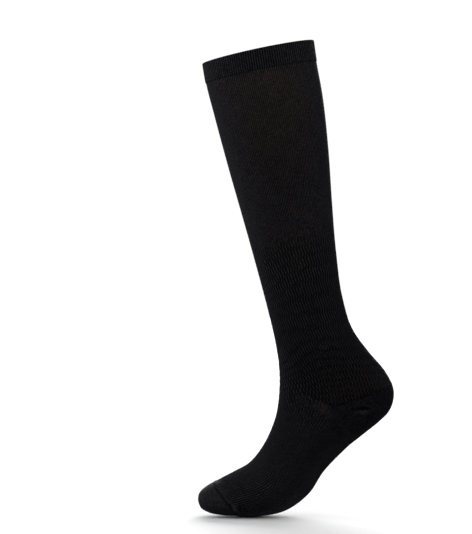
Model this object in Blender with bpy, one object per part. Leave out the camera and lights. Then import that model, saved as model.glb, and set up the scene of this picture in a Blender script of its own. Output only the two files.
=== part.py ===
"""A knee-high compression stocking, filled out in the pose it is worn in, with nobody in it.

It is one knitted tube in five knitted sections, each its own solid: the turned welt, the ribbed
leg, the short-row heel pocket, the ribbed foot and the plain toe cap. Every section is a wall
round a hollow: the outer face carries the ribs and folds and the inner face is plain.

Metres and +Z up. The toe points to -X, the heel to +X, and the stocking is alike on both sides
of the XZ plane but for its folds. The origin is the middle of the top opening, where the
wearer's leg holds it.
"""

import math
from collections import namedtuple

import bmesh
import bpy
from mathutils import Vector

MM = 0.001

# The knit.
RIBS = 84                  # raised wales round the leg, each with a sunk one beside it
NEEDLES = 2 * RIBS
RIB_RISE = 0.4             # mm, how far a raised wale stands out on the leg and foot
PLAIN_SOLE = (0.45, 0.75)  # the ribs fade between these shares of the way from side to sole

# Walls, seams and edges, in mm.
WELT_WALL = 2.2            # two layers of cloth
WELT_STANDS_OUT = 0.8
LEG_WALL = 1.2
FOOT_WALL = 1.2
HEEL_WALL = 1.5
TOE_WALL = 1.5
SEAM_GAP = 0.3

# How finely each section is laid out.
INNER_COLUMNS = 42         # the plain inner faces
WELT_COLUMNS = 84
TOE_COLUMNS = 84
HEEL_COLUMNS = 34
WELT_FOLD_STEPS = 4
LEG_ROWS = 13
LEG_CROWDING = 1.5         # above 1, the leg's rows lie closer together towards the heel
HEEL_ROWS = 14
FOOT_ROWS = 11
TOE_ROWS = 8
PROBE_DOWN = 0.4           # mm down and radians round, to find which way the cloth faces
PROBE_TURN = 0.01
SHARP_EDGE = math.radians(50)

# A ring of the tube, in mm. Its front point lies on the shin or the top of the foot, its back
# point on the calf or the sole, and its side point where it is widest. The ring bends at the
# side point, as courses do round a heel. fullness is 1 for an ellipse and less for a squarer ring.
Ring = namedtuple("Ring", "front_x front_z side_x side_z back_x back_z half_width fullness")

LEG_RINGS = [
    #    front_x front_z side_x side_z back_x back_z half_width fullness
    Ring(-61.3, -11.4, -1.0, 1.6, 59.6, 14.2, 53.5, 0.96),        # top edge
    Ring(-57.5, -33.5, 2.5, -21.0, 63.2, -9.0, 54.0, 0.96),       # under the welt
    Ring(-48.4, -69.0, 10.5, -57.0, 69.7, -45.0, 54.0, 0.96),
    Ring(-33.3, -125.0, 21.5, -114.5, 76.2, -103.5, 51.0, 0.96),  # fullest of the calf
    Ring(-16.6, -183.5, 32.0, -174.0, 80.4, -164.5, 45.5, 0.96),
    Ring(-1.2, -238.5, 42.0, -229.5, 85.1, -221.0, 40.0, 0.96),
    Ring(10.5, -282.5, 51.0, -275.0, 91.6, -267.5, 36.0, 0.96),   # narrowest, above the ankle
    Ring(18.3, -315.5, 61.5, -312.5, 103.0, -303.5, 34.5, 0.95),
    Ring(21.9, -337.5, 73.0, -342.0, 120.8, -328.5, 34.0, 0.94),
    Ring(23.1, -351.5, 80.0, -367.0, 137.8, -348.5, 34.0, 0.93),
    Ring(23.3, -362.5, 83.5, -388.5, 146.6, -364.0, 34.0, 0.92),  # ankle line and upper heel line
]
FOOT_RINGS = [
    #    front_x front_z side_x side_z back_x back_z half_width fullness
    Ring(23.3, -362.5, 83.5, -388.5, 105.9, -426.0, 34.0, 0.92),    # ankle line and lower heel line
    Ring(21.3, -388.0, 67.0, -414.5, 95.3, -434.6, 34.5, 0.90),
    Ring(15.6, -409.6, 45.5, -436.0, 71.6, -459.1, 36.0, 0.88),
    Ring(5.5, -430.9, 31.0, -460.0, 54.6, -484.2, 38.5, 0.86),
    Ring(-9.4, -449.8, 11.0, -480.0, 28.0, -502.9, 42.0, 0.84),     # ball of the foot
    Ring(-27.0, -460.2, -14.0, -489.0, -4.0, -508.9, 42.0, 0.82),
    Ring(-51.3, -472.7, -37.5, -494.5, -25.0, -508.2, 37.5, 0.80),  # toe seam
    Ring(-57.9, -476.9, -49.5, -495.0, -42.0, -507.2, 34.0, 0.82),
    Ring(-63.3, -481.4, -58.6, -494.0, -55.2, -504.6, 27.5, 0.88),
    Ring(-66.0, -486.2, -64.8, -493.0, -63.6, -499.6, 16.5, 0.95),
    Ring(-66.7, -492.0, -66.7, -492.0, -66.7, -492.0, 0.0, 1.00),   # tip of the toe
    Ring(-63.6, -499.6, -64.8, -493.0, -66.0, -486.2, -16.5, 0.95),
]
WELT_SEAM = 1               # row of LEG_RINGS
TOE_SEAM, TOE_TIP = 6, 10   # rows of FOOT_RINGS; the one past the tip keeps the tip round

# The heel turns only the back of the ring, down this line from the upper heel line to the lower.
Turn = namedtuple("Turn", "back_x back_z")
HEEL_TURNS = [
    Turn(146.6, -364.0),
    Turn(148.5, -372.5),
    Turn(147.5, -383.0),
    Turn(143.2, -393.5),
    Turn(132.7, -404.5),
    Turn(116.6, -417.4),
    Turn(105.9, -426.0),
]
HEEL_CORNER = 0.18          # share of the ring over which it bends at its side point
HEEL_POINT = 0.064          # how far past the side point the pocket's point reaches to the front

# Folds held in the cloth, in mm: each runs from one point to the other, seen from the side, bowed
# up in its middle. side is -1 for the near (-Y) side and 1 for the far one.
Fold = namedtuple("Fold", "side from_x from_z to_x to_z bow height width")
FOLDS = [
    #    side from_x from_z   to_x   to_z  bow height width
    Fold(-1, 102.5, -391.8, 123.0, -390.8, 1.9, -0.8, 1.8),  # crease under the heel's middle
    Fold(-1, 102.5, -394.6, 121.0, -394.0, 0.9, 1.1, 2.0),   # the roll below it
    Fold(-1, -30.8, -497.5, -21.5, -496.8, 0.8, 1.2, 3.6),   # ear at the end of the toe seam
    Fold(1, 100.5, -389.5, 119.5, -390.5, 1.6, -0.7, 1.8),
    Fold(1, 101.0, -393.0, 119.0, -393.5, 0.9, 1.0, 2.0),
    Fold(1, -30.0, -497.0, -22.0, -496.0, 0.8, 1.1, 3.4),
]

# Colours are linear RGB.
BLACK_YARN = (0.012, 0.012, 0.014, 1.0)
SHEER_BLACK = (0.016, 0.014, 0.014, 1.0)
GREYER_BLACK = (0.017, 0.017, 0.020, 1.0)


class Tube:
    """A family of rings, read at any distance down it. The front of a ring is at turn 0."""

    def __init__(self, rings):
        self.rings = rings
        self.marks = [0.0]
        for above, below in zip(rings, rings[1:]):
            gaps = [math.dist(above[i:i + 2], below[i:i + 2]) for i in (0, 2, 4)]
            self.marks.append(self.marks[-1] + sum(gaps) / len(gaps))

    def slope(self, row, column):
        """How fast one column of the table changes at a row, from the rows on both sides."""
        last = len(self.rings) - 1
        middle = min(max(row, 1), last - 1)
        above, here, below = (self.rings[i][column] for i in (middle - 1, middle, middle + 1))
        span_above = self.marks[middle] - self.marks[middle - 1]
        span_below = self.marks[middle + 1] - self.marks[middle]
        slope_above = (here - above) / span_above
        slope_below = (below - here) / span_below
        through = (slope_above * span_below + slope_below * span_above) / (span_above + span_below)
        if row == 0:
            return 2 * slope_above - through
        if row == last:
            return 2 * slope_below - through
        return through

    def ring(self, down):
        """The ring at a distance down the tube, on a smooth curve through the listed ones."""
        row = 0
        while row < len(self.rings) - 2 and down > self.marks[row + 1]:
            row += 1
        span = self.marks[row + 1] - self.marks[row]
        t = (down - self.marks[row]) / span
        values = []
        for column, (a, b) in enumerate(zip(self.rings[row], self.rings[row + 1])):
            leave = self.slope(row, column) * span
            arrive = self.slope(row + 1, column) * span
            values.append(a + t * leave + t * t * (3 * (b - a) - 2 * leave - arrive)
                          + t ** 3 * (2 * (a - b) + leave + arrive))
        return Ring(*values)

    def point(self, down, turn):
        return ring_point(self.ring(down), turn)

    def normal(self, down, turn):
        """Outward normal, from points a little up, down and round."""
        above, below = max(down - PROBE_DOWN, 0.0), min(down + PROBE_DOWN, self.marks[-1])
        along = self.point(below, turn) - self.point(above, turn)
        around = self.point(down, turn + PROBE_TURN) - self.point(down, turn - PROBE_TURN)
        return along.cross(around).normalized()


def ramp(share):
    """0 on the far side of the ring's bend and the share itself on this side, with a round knee."""
    if share <= -HEEL_CORNER:
        return 0.0
    if share >= HEEL_CORNER:
        return share
    return (share + HEEL_CORNER) ** 2 / (4 * HEEL_CORNER)


def ring_point(ring, turn):
    """A point of a ring in mm: turn 0 is the front, a quarter turn the -Y side, a half the back."""
    back, front = ramp(-math.cos(turn)), ramp(math.cos(turn))
    x = ring.side_x + (ring.back_x - ring.side_x) * back + (ring.front_x - ring.side_x) * front
    z = ring.side_z + (ring.back_z - ring.side_z) * back + (ring.front_z - ring.side_z) * front
    across = math.sin(turn)
    y = -ring.half_width * math.copysign(abs(across) ** ring.fullness, across)
    return Vector((x, y, z))


def fold_height(point):
    """How far the folds move the cloth out at a point, in mm."""
    height = 0.0
    for fold in FOLDS:
        if point.y * fold.side <= 0:
            continue
        run = Vector((fold.to_x - fold.from_x, fold.to_z - fold.from_z))
        offset = Vector((point.x - fold.from_x, point.z - fold.from_z))
        share = offset.dot(run) / run.length_squared
        if not 0 < share < 1:
            continue
        aside = (run.x * offset.y - run.y * offset.x) / run.length - 4 * fold.bow * share * (1 - share)
        height += fold.height * math.sin(math.pi * share) * math.exp(-(aside / fold.width) ** 2)
    return height


def smooth_step(low, high, value):
    t = min(max((value - low) / (high - low), 0.0), 1.0)
    return t * t * (3 - 2 * t)


def folded_point(tube, down, turn):
    """A point of the cloth with its folds, and its outward normal."""
    point, normal = tube.point(down, turn), tube.normal(down, turn)
    return point + normal * fold_height(point), normal


def wall_rows(tube, downs, turns, wall, rise):
    """The outer and inner points of a wall: a row for each distance down, a point for each turn.

    rise(needle, turn) is how far the outer point of each needle is raised.
    """
    outer, inner = [], []
    for down in downs:
        outer.append([])
        inner.append([])
        for needle, turn in enumerate(turns):
            point, normal = folded_point(tube, down, turn)
            outer[-1].append(point + normal * rise(needle, turn))
            inner[-1].append(point - normal * wall)
    return outer, inner


def add_rows(bm, rows, closed):
    """Adds rows of points and the faces between them, and returns the rows of vertices."""
    laid = [[bm.verts.new(point * MM) for point in row] for row in rows]
    for above, below in zip(laid, laid[1:]):
        pairs = list(zip(above, below))
        following = pairs[1:] + pairs[:1] if closed else pairs[1:]
        for (a, b), (c, d) in zip(pairs, following):
            bm.faces.new((a, b, d, c))
    return laid


def add_rim(bm, outer, inner):
    """Closes a round rim: each step of the inner edge meets the same few steps of the outer one."""
    steps = len(outer) // len(inner)
    middle = (steps + 1) // 2
    for j, start in enumerate(inner):
        end = inner[(j + 1) % len(inner)]
        arc = [outer[(j * steps + i) % len(outer)] for i in range(steps + 1)]
        for i in range(steps):
            bm.faces.new((arc[i], arc[i + 1], start if i < middle else end))
        bm.faces.new((start, end, arc[middle]))


def add_tip(bm, edge, point):
    tip = bm.verts.new(point * MM)
    for a, b in zip(edge, edge[1:] + edge[:1]):
        bm.faces.new((a, b, tip))


def border(rows):
    """The vertices round an open grid, in order."""
    right = [row[-1] for row in rows[1:-1]]
    left = [row[0] for row in rows[-2:0:-1]]
    return rows[0] + right + rows[-1][::-1] + left


def knitted_piece(name, bm, colour, roughness):
    """Makes the named object from its finished mesh, with a material of its own."""
    bmesh.ops.recalc_face_normals(bm, faces=bm.faces)
    mesh = bpy.data.meshes.new(name)
    bm.to_mesh(mesh)
    bm.free()
    mesh.shade_smooth()
    mesh.set_sharp_from_angle(angle=SHARP_EDGE)
    material = bpy.data.materials.new(name)
    material.use_nodes = True
    shader = material.node_tree.nodes["Principled BSDF"]
    shader.inputs["Base Color"].default_value = colour
    shader.inputs["Roughness"].default_value = roughness
    shader.inputs["Metallic"].default_value = 0.0
    mesh.materials.append(material)
    bpy.context.scene.collection.objects.link(bpy.data.objects.new(name, mesh))


def turns_round(columns):
    return [2 * math.pi * i / columns for i in range(columns)]


def spaced(start, end, rows):
    return [start + (end - start) * i / rows for i in range(rows + 1)]


def add_wall(bm, outer, inner):
    """Adds a tube's outer face and, with fewer columns, its inner one, and returns both."""
    thinned = [row[::len(row) // INNER_COLUMNS] for row in inner]
    return add_rows(bm, outer, closed=True), add_rows(bm, thinned, closed=True)


def open_tube(tube, downs, rise, wall):
    """The mesh of a ribbed wall that is open at both ends."""
    bm = bmesh.new()
    outside, inside = add_wall(bm, *wall_rows(tube, downs, turns_round(NEEDLES), wall, rise))
    for end in (0, -1):
        add_rim(bm, outside[end], inside[end])
    return bm


def leg_rise(needle, turn):
    """Ribs all round the leg: every other wale is raised."""
    return RIB_RISE if needle % 2 == 0 else 0.0


def foot_rise(needle, turn):
    """The same ribs over the instep, fading into the plain sole."""
    return leg_rise(needle, turn) * (1 - smooth_step(*PLAIN_SOLE, -math.cos(turn)))


def plain(needle, turn):
    return 0.0


def make_welt(leg):
    """The turned band: up its outer layer, over the fold at the top and down its inner layer."""
    low = leg.marks[WELT_SEAM] - SEAM_GAP / 2
    radius = WELT_WALL / 2
    profile = [(low, WELT_STANDS_OUT)]
    for angle in spaced(0.0, math.pi, WELT_FOLD_STEPS):
        over, across = math.sin(angle), math.cos(angle)
        profile.append((radius * (1 - over), WELT_STANDS_OUT - radius * (1 - across)))
    profile.append((low, WELT_STANDS_OUT - WELT_WALL))
    rows = [
        [leg.point(down, turn) + leg.normal(down, turn) * out for turn in turns_round(WELT_COLUMNS)]
        for down, out in profile
    ]
    bm = bmesh.new()
    laid = add_rows(bm, rows, closed=True)
    add_rim(bm, laid[0], laid[-1])
    knitted_piece("welt", bm, BLACK_YARN, 0.85)


def make_leg(leg):
    top, bottom = leg.marks[WELT_SEAM] + SEAM_GAP / 2, leg.marks[-1] - SEAM_GAP / 2
    downs = [bottom - (bottom - top) * left ** LEG_CROWDING for left in spaced(1.0, 0.0, LEG_ROWS)]
    knitted_piece("leg", open_tube(leg, downs, leg_rise, LEG_WALL), SHEER_BLACK, 0.9)


def make_heel(heel):
    """The pocket: a patch with a wall, trimmed back from the leg and the foot all round."""
    point_turn = math.acos(HEEL_POINT)
    turns = spaced(point_turn, 2 * math.pi - point_turn, HEEL_COLUMNS - 1)
    bottom = heel.marks[-1]
    outer, inner = [], []
    for turn in turns:
        points = [heel.point(down, turn) for down in spaced(0.0, bottom, 2 * HEEL_ROWS)]
        length = sum((b - a).length for a, b in zip(points, points[1:]))
        trim = bottom * SEAM_GAP / 2 / length
        outer.append([])
        inner.append([])
        for down in spaced(trim, bottom - trim, HEEL_ROWS):
            point, normal = folded_point(heel, down, turn)
            outer[-1].append(point)
            inner[-1].append(point - normal * HEEL_WALL)
    bm = bmesh.new()
    edges = [border(add_rows(bm, rows, closed=False)) for rows in (outer, inner)]
    pairs = list(zip(*edges))
    for (a, b), (c, d) in zip(pairs, pairs[1:] + pairs[:1]):
        bm.faces.new((a, b, d, c))
    knitted_piece("heel", bm, BLACK_YARN, 0.9)


def make_foot(foot):
    downs = spaced(SEAM_GAP / 2, foot.marks[TOE_SEAM] - SEAM_GAP / 2, FOOT_ROWS)
    knitted_piece("foot", open_tube(foot, downs, foot_rise, FOOT_WALL), SHEER_BLACK, 0.9)


def make_toe(foot):
    downs = spaced(foot.marks[TOE_SEAM] + SEAM_GAP / 2, foot.marks[TOE_TIP], TOE_ROWS)
    tip = foot.point(downs[-1], 0.0)
    bm = bmesh.new()
    outside, inside = add_wall(bm, *wall_rows(foot, downs[:-1], turns_round(TOE_COLUMNS), TOE_WALL, plain))
    add_rim(bm, outside[0], inside[0])
    add_tip(bm, outside[-1], tip)
    add_tip(bm, inside[-1], tip + Vector((TOE_WALL, 0.0, 0.0)))
    knitted_piece("toe", bm, GREYER_BLACK, 0.85)


def main():
    for old in list(bpy.data.objects):
        bpy.data.objects.remove(old, do_unlink=True)
    leg = Tube(LEG_RINGS)
    heel = Tube([LEG_RINGS[-1]._replace(back_x=turn.back_x, back_z=turn.back_z) for turn in HEEL_TURNS])
    foot = Tube(FOOT_RINGS)
    make_welt(leg)
    make_leg(leg)
    make_heel(heel)
    make_foot(foot)
    make_toe(foot)


main()
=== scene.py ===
"""The looks of a knee-high compression stocking, filled out in the pose it is worn in.

Each of the five knitted sections gets a fine shell on the form of its solid, with real ribs,
folds and seams, a UV map counted in needles and courses, and a material for its own yarn.
Forms are worked out in mm and laid down in metres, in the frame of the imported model.
"""

import math

import bpy
import numpy as np
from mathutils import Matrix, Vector

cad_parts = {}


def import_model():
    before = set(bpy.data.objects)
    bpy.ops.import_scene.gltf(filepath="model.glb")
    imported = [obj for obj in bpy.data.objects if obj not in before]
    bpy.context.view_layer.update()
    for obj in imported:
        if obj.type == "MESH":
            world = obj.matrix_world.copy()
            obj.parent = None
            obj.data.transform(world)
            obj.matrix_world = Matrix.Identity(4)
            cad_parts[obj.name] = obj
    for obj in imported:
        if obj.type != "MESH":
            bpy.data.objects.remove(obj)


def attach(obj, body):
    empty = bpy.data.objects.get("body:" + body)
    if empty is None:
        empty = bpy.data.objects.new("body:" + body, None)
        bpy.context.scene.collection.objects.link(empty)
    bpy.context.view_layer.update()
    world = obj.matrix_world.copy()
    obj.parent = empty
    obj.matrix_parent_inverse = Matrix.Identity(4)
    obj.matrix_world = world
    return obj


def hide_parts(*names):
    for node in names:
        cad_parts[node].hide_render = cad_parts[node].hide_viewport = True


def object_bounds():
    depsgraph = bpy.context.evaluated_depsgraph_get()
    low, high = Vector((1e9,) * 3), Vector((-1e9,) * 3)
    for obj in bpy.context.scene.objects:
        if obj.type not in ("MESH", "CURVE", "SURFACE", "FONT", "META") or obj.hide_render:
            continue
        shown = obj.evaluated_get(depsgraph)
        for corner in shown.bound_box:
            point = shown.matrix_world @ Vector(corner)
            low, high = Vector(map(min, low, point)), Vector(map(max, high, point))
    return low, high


MM = 0.001

# ---------------------------------------------------------------- the form, as in the solids
NEEDLES = 168
# Heights and walls in mm.
RIB_RISE = 0.4
WELT_WALL, WELT_STANDS_OUT = 2.2, 0.8
LEG_WALL, FOOT_WALL, HEEL_WALL, TOE_WALL = 1.2, 1.2, 1.5, 1.5
SEAM_GAP = 0.3
HEEL_TRIM = 0.05             # how far the heel's pocket is trimmed back at its two lines
# Cosines of turns: where the ribs fade out to the plain sole, how far a ring's bend is rounded,
# and the heel's corners.
PLAIN_SOLE = (0.45, 0.75)
HEEL_CORNER, HEEL_POINT = 0.18, 0.064
# Rows of the rings below, counted from 0.
WELT_SEAM, TOE_SEAM, TOE_TIP = 1, 6, 10

# Rings in mm: front x z, side x z, back x z, half width, fullness.
LEG_RINGS = [
    (-61.3, -11.4, -1.0, 1.6, 59.6, 14.2, 53.5, 0.96),
    (-57.5, -33.5, 2.5, -21.0, 63.2, -9.0, 54.0, 0.96),
    (-48.4, -69.0, 10.5, -57.0, 69.7, -45.0, 54.0, 0.96),
    (-33.3, -125.0, 21.5, -114.5, 76.2, -103.5, 51.0, 0.96),
    (-16.6, -183.5, 32.0, -174.0, 80.4, -164.5, 45.5, 0.96),
    (-1.2, -238.5, 42.0, -229.5, 85.1, -221.0, 40.0, 0.96),
    (10.5, -282.5, 51.0, -275.0, 91.6, -267.5, 36.0, 0.96),
    (18.3, -315.5, 61.5, -312.5, 103.0, -303.5, 34.5, 0.95),
    (21.9, -337.5, 73.0, -342.0, 120.8, -328.5, 34.0, 0.94),
    (23.1, -351.5, 80.0, -367.0, 137.8, -348.5, 34.0, 0.93),
    (23.3, -362.5, 83.5, -388.5, 146.6, -364.0, 34.0, 0.92),
]
FOOT_RINGS = [
    (23.3, -362.5, 83.5, -388.5, 105.9, -426.0, 34.0, 0.92),
    (21.3, -388.0, 67.0, -414.5, 95.3, -434.6, 34.5, 0.90),
    (15.6, -409.6, 45.5, -436.0, 71.6, -459.1, 36.0, 0.88),
    (5.5, -430.9, 31.0, -460.0, 54.6, -484.2, 38.5, 0.86),
    (-9.4, -449.8, 11.0, -480.0, 28.0, -502.9, 42.0, 0.84),
    (-27.0, -460.2, -14.0, -489.0, -4.0, -508.9, 42.0, 0.82),
    (-51.3, -472.7, -37.5, -494.5, -25.0, -508.2, 37.5, 0.80),
    (-57.9, -476.9, -49.5, -495.0, -42.0, -507.2, 34.0, 0.82),
    (-63.3, -481.4, -58.6, -494.0, -55.2, -504.6, 27.5, 0.88),
    (-66.0, -486.2, -64.8, -493.0, -63.6, -499.6, 16.5, 0.95),
    (-66.7, -492.0, -66.7, -492.0, -66.7, -492.0, 0.0, 1.00),
    (-63.6, -499.6, -64.8, -493.0, -66.0, -486.2, -16.5, 0.95),
]
HEEL_TURNS = [
    (146.6, -364.0), (148.5, -372.5), (147.5, -383.0), (143.2, -393.5),
    (132.7, -404.5), (116.6, -417.4), (105.9, -426.0),
]

# Folds in mm: side, from x z, to x z, bow, height, width. The far side's are like the near side's.
FOLDS = [
    (-1, 102.5, -391.8, 123.0, -390.8, 1.9, -0.8, 1.8),   # crease under the heel's middle
    (-1, 102.5, -394.6, 121.0, -394.0, 0.9, 1.1, 2.0),    # the roll below it
    (-1, -30.8, -497.5, -21.5, -496.8, 0.8, 1.2, 3.6),    # ear at the end of the toe seam
    (1, 100.5, -389.5, 119.5, -390.5, 1.6, -0.7, 1.8),
    (1, 101.0, -393.0, 119.0, -393.5, 0.9, 1.0, 2.0),
    (1, -30.0, -497.0, -22.0, -496.0, 0.8, 1.1, 3.4),
]
# Finer creases of the cloth alone, listed in the same way.
CREASES = [
    (-1, 101.5, -391.6, 124.0, -390.9, 2.0, -1.0, 0.8),   # sharp line in the heel's crease
    (-1, 103.0, -398.4, 115.0, -398.6, 0.8, -0.6, 1.2),   # hollow under its roll
    (-1, 104.5, -394.6, 98.0, -400.0, 0.6, 0.6, 1.2),     # the roll's tail
    (-1, -46.0, -478.4, -28.0, -498.4, 0.2, 0.9, 1.1),    # the edge rolled over the toe seam
    (-1, -33.8, -492.2, -28.4, -498.6, 0.0, -1.9, 0.9),   # pit at the seam's end
    (-1, -26.5, -491.5, -25.5, -503.0, 0.8, 0.8, 2.2),    # the ear's crest
    (-1, -21.8, -491.5, -21.8, -503.0, 1.3, -1.7, 0.7),   # the line behind the ear
    (1, 99.0, -389.6, 121.0, -390.2, 1.7, -0.9, 0.8),
    (1, 102.0, -397.0, 112.0, -397.6, 0.7, -0.5, 1.1),
    (1, -45.5, -478.8, -28.0, -498.8, 0.3, 0.7, 1.1),
    (1, -32.8, -493.6, -28.2, -499.2, 0.0, -1.7, 1.0),
    (1, -26.6, -492.0, -25.6, -502.0, 0.6, 0.7, 2.0),
    (1, -21.6, -492.0, -22.2, -502.8, 0.6, -1.1, 1.0),
]


class Tube:
    """A family of rings, read at any distance down it. The front of a ring is at turn 0."""

    def __init__(self, rings):
        self.rings = np.array(rings, float)
        steps = np.diff(self.rings, axis=0)
        gaps = [np.hypot(steps[:, i], steps[:, i + 1]) for i in (0, 2, 4)]
        self.marks = np.concatenate([[0.0], np.cumsum(np.mean(gaps, axis=0))])
        spans = np.diff(self.marks)[:, None]
        slopes = steps / spans
        through = (slopes[:-1] * spans[1:] + slopes[1:] * spans[:-1]) / (spans[:-1] + spans[1:])
        self.slopes = np.vstack([2 * slopes[:1] - through[:1], through, 2 * slopes[-1:] - through[-1:]])

    def ring(self, down):
        """The ring at each distance down, on a smooth curve through the named ones."""
        row = np.clip(np.searchsorted(self.marks, down) - 1, 0, len(self.rings) - 2)
        span = (self.marks[row + 1] - self.marks[row])[..., None]
        t = (down - self.marks[row])[..., None] / span
        a, b = self.rings[row], self.rings[row + 1]
        leave, arrive = self.slopes[row] * span, self.slopes[row + 1] * span
        return (a + t * leave + t ** 2 * (3 * (b - a) - 2 * leave - arrive)
                + t ** 3 * (2 * (a - b) + leave + arrive))

    def point(self, down, turn):
        """The point at each distance down and each turn round."""
        down, turn = np.broadcast_arrays(np.asarray(down, float), np.asarray(turn, float))
        ring = self.ring(down)
        back, front = ramp(-np.cos(turn)), ramp(np.cos(turn))
        across = np.sin(turn)
        front_x, front_z, side_x, side_z, back_x, back_z, half_width, fullness = np.moveaxis(ring, -1, 0)
        x = side_x + (back_x - side_x) * back + (front_x - side_x) * front
        z = side_z + (back_z - side_z) * back + (front_z - side_z) * front
        y = -half_width * np.sign(across) * np.abs(across) ** fullness
        return np.stack([x, y, z], axis=-1)

    def normal(self, down, turn):
        """Outward normal, from points a little up, down and round."""
        above, below = np.maximum(down - 0.4, 0.0), np.minimum(down + 0.4, self.marks[-1])
        along = self.point(below, turn) - self.point(above, turn)
        around = self.point(down, turn + 0.01) - self.point(down, turn - 0.01)
        normal = np.cross(along, around)
        return normal / np.linalg.norm(normal, axis=-1, keepdims=True)


def even_turns(tube, down, needle):
    """The turn of each needle, spaced evenly along its course before the side line and behind it."""
    quarter = NEEDLES // 4
    turns = np.linspace(0, np.pi, 4 * quarter + 1)
    courses = tube.point(down[:, :1], turns)
    travel = np.cumsum(np.linalg.norm(np.diff(courses, axis=1), axis=-1), axis=1)
    made = np.empty(needle.shape)
    for row, lengths in enumerate(travel):
        lengths = np.insert(lengths, 0, 0.0)
        middle, end = lengths[2 * quarter], lengths[-1]
        behind = 1 + (lengths - middle) / (end - middle)
        count = np.where(lengths < middle, lengths / middle, behind) * quarter
        near = needle[row] % NEEDLES
        half = np.interp(np.minimum(near, NEEDLES - near), count, turns)
        made[row] = np.where(near <= NEEDLES / 2, half, 2 * np.pi - half)
    return made


def ramp(share):
    """0 on the far side of the ring's bend, the share itself on this side, with a round knee."""
    knee = (share + HEEL_CORNER) ** 2 / (4 * HEEL_CORNER)
    return np.where(share <= -HEEL_CORNER, 0.0, np.where(share >= HEEL_CORNER, share, knee))


def fold_height(points):
    """How far the folds move the cloth out at each point, in mm."""
    height = np.zeros(points.shape[:-1])
    for side, from_x, from_z, to_x, to_z, bow, lift, width in FOLDS + CREASES:
        run = np.array([to_x - from_x, to_z - from_z])
        length = np.hypot(*run)
        off_x, off_z = points[..., 0] - from_x, points[..., 2] - from_z
        share = (off_x * run[0] + off_z * run[1]) / length ** 2
        inside = (share > 0) & (share < 1) & (points[..., 1] * side > 0)
        share = np.clip(share, 0, 1)
        aside = (run[0] * off_z - run[1] * off_x) / length - 4 * bow * share * (1 - share)
        height += np.where(inside, lift * np.sin(np.pi * share) * hump(aside, 0.0, width), 0.0)
    return height


def rise(value, start, full):
    """0 up to start and 1 from full on, with a smooth way between."""
    t = np.clip((value - start) / (full - start), 0.0, 1.0)
    return t * t * (3 - 2 * t)


def fall(value, start, gone):
    """1 up to start and 0 from gone on, with a smooth way between."""
    return 1 - rise(value, start, gone)


def hump(value, middle, width):
    """1 at the middle, fading smoothly to 0 on both sides of it."""
    return np.exp(-((value - middle) / width) ** 2)


def cycle(turns):
    """A wave from 0 to 1, highest at whole numbers."""
    return 0.5 + 0.5 * np.cos(2 * np.pi * turns)


# ---------------------------------------------------------------- the knit
# A needle's wale is 2 mm wide on the calf. Real ones are a third of that, too fine to show, so
# the knit is drawn coarser all over, with its ribs two of these needles wide.
COURSE = 1.5                 # mm, height of one drawn stitch
WELT_WALES = 140             # the welt's wales, drawn round it
FOOT_WALES = 192             # the foot's, finer than the leg's
DASH, FOOT_DASH = 4.2, 5.0   # mm, from one tucked stitch to the next, which break the wales up

# The zigzag above the ankle, made by racking the needles to and fro.
RACKING = 1.1                # needles, from one end of a stroke to the other
RACKED_SHARE = 0.78          # of a band leans one way, and the rest leans back
ZIGZAG_WIDEST = 17.0         # mm, one band of racked ribs at the lower calf
ZIGZAG_FINEST = 4.0
ZIGZAG_MIDDLE, ZIGZAG_REACH = 275.0, 64.0
ZIGZAG_LINE = 277.0          # mm down, where one line between two bands lies
SUNK_SHARE = 0.14            # of a band, on either side of where the ribs lean back
LEVEL_BAND = (295.0, 35.0)   # mm down and reach of the bands that run level round the leg
# The other bands slope in front of one needle and behind another, by so many mm a needle.
FRONT_SLOPE_FROM, FRONT_SLOPE = 36, 1.3
BACK_SLOPE_FROM, BACK_SLOPE = 46, 0.5

# Where things begin and where they are full. Along the leg in mm down it:
ZIGZAG_BEGINS, CALF_ENDS, LOWER_SHIN = (165, 235), (190, 235), (300, 350)
# Round the leg and foot in needles, from 0 at the front to 84 at the back:
SIDE = NEEDLES / 4
ANKLE_CORNER = 41            # where the heel's corner lies
EAR_BEGINS = (46.5, 50)

# The ribs turn by so many needles at the ankle line, within so many mm of it.
ANKLE_BEND, ANKLE_BEND_REACH = 2.5, 9.0
# How light the leg is, by mm down it.
LEG_TONES = [(20, 0.95), (60, 0.9), (150, 0.79), (240, 0.84), (320, 0.74), (390, 0.55)]

# The toe's seam runs this many mm further back than its ring, at this needle and within this reach.
SEAM_SHIFT, SEAM_SHIFT_AT = 4.4, (46, 24)
SEAM_DRAWS = 24.0            # mm of cloth on either side that shifts with it

# Each slow wave of the knit's unevenness: waves round it, radians a mm down it, share of the seed.
WAVES = [(3, 0.051, 1.0), (5, -0.083, 2.1), (11, 0.137, 3.7), (-8, 0.211, 5.3)]


def folded_needle(needle):
    """Needles counted from the front round either side."""
    needle = needle % NEEDLES
    return np.minimum(needle, NEEDLES - needle)


def plain_turn(needle):
    """The turn of each needle, were they evenly spaced by turn."""
    return needle * (2 * np.pi / NEEDLES)


def wobble(needle, down, seed):
    """Slow, even-handed unevenness of the knit, from -1 to 1, the same each time."""
    turn = plain_turn(needle)
    return sum(np.sin(number * turn + down * pace + share * seed) for number, pace, share in WAVES) / 4


def soft_ramp(needles):
    """0 below 0 needles and their number above it, with a knee 3 needles wide."""
    return 3.0 * np.logaddexp(0, needles / 3.0)


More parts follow.
